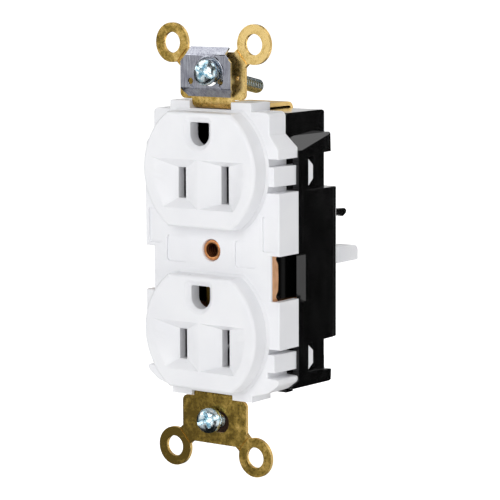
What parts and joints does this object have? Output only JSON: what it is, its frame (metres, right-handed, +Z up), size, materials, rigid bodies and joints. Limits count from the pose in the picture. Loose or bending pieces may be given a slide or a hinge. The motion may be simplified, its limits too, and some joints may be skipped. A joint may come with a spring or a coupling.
{
  "type": "duplex wall outlet",
  "caption": "Duplex receptacle with raised round faces, wrap-around strap with ears, captive mounting screws, grounding clip and rear blades for a plug-on connector.",
  "frame": {"origin": "midway between the two mounting screw openings, in the plane of the strap's front face", "axes": "+X to the right seen from the room, +Y into the wall, +Z up with the ground holes on top"},
  "size_m": [0.0398, 0.0421, 0.1078],
  "materials": {
    "white_nylon": "smooth semi-gloss moulded nylon",
    "black_thermoplastic": "glossy moulded thermoplastic",
    "brass_strap": "plated stamped brass with a mottled surface",
    "spring_steel": "bright rolled spring steel",
    "zinc_screw": "clear zinc plated",
    "fibre_washer": "pressed fibre",
    "copper_rivet": "bright copper alloy",
    "contact_copper": "rolled copper alloy",
    "contact_brass": "rolled brass"
  },
  "bodies": {
    "receptacle": {"face_cover": "white_nylon", "rear_body": "black_thermoplastic", "rear_plate": "black_thermoplastic", "mounting_strap": "brass_strap", "centre_rivet": "copper_rivet", "neutral_contact_strip": "contact_copper", "hot_contact_strip": "contact_copper", "upper_ground_contact": "contact_brass", "lower_ground_contact": "contact_brass", "ground_contact_rivets": "contact_brass", "ground_rear_blade": "contact_brass", "neutral_rear_blade": "contact_copper", "hot_rear_blade": "contact_copper", "blade_rivets": "contact_brass", "neutral_blade_sleeve": "white_nylon", "hot_blade_sleeve": "black_thermoplastic"},
    "clip": {"grounding_clip": "spring_steel"},
    "upper_retainer": {"upper_screw_retainer": "fibre_washer"},
    "upper_screw": {"upper_mounting_screw": "zinc_screw"},
    "lower_retainer": {"lower_screw_retainer": "fibre_washer"},
    "lower_screw": {"lower_mounting_screw": "zinc_screw"}
  },
  "joints": [
    {"name": "upper_screw_travel", "type": "slide", "parent": "receptacle", "child": "upper_retainer", "axis": [0.0342, -0.9793, 0.1994], "range_m": [0, 0.0032]},
    {"name": "upper_screw_spin", "type": "hinge", "parent": "upper_retainer", "child": "upper_screw", "pos_m": [0.00093, -0.00325, 0.04243], "axis": [-0.0342, 0.9793, -0.1994], "continuous": true},
    {"name": "lower_screw_travel", "type": "slide", "parent": "receptacle", "child": "lower_retainer", "axis": [0.3271, -0.9237, 0.1994], "range_m": [0, 0.0042]},
    {"name": "lower_screw_spin", "type": "hinge", "parent": "lower_retainer", "child": "lower_screw", "pos_m": [-0.00021, -0.00145, -0.04125], "axis": [-0.3271, 0.9237, -0.1994], "continuous": true},
    {"name": "clip_flex", "type": "hinge", "parent": "receptacle", "child": "clip", "pos_m": [0, -0.0005, 0.0478], "axis": [1, 0, 0], "range_deg": [0, 2]}
  ]
}
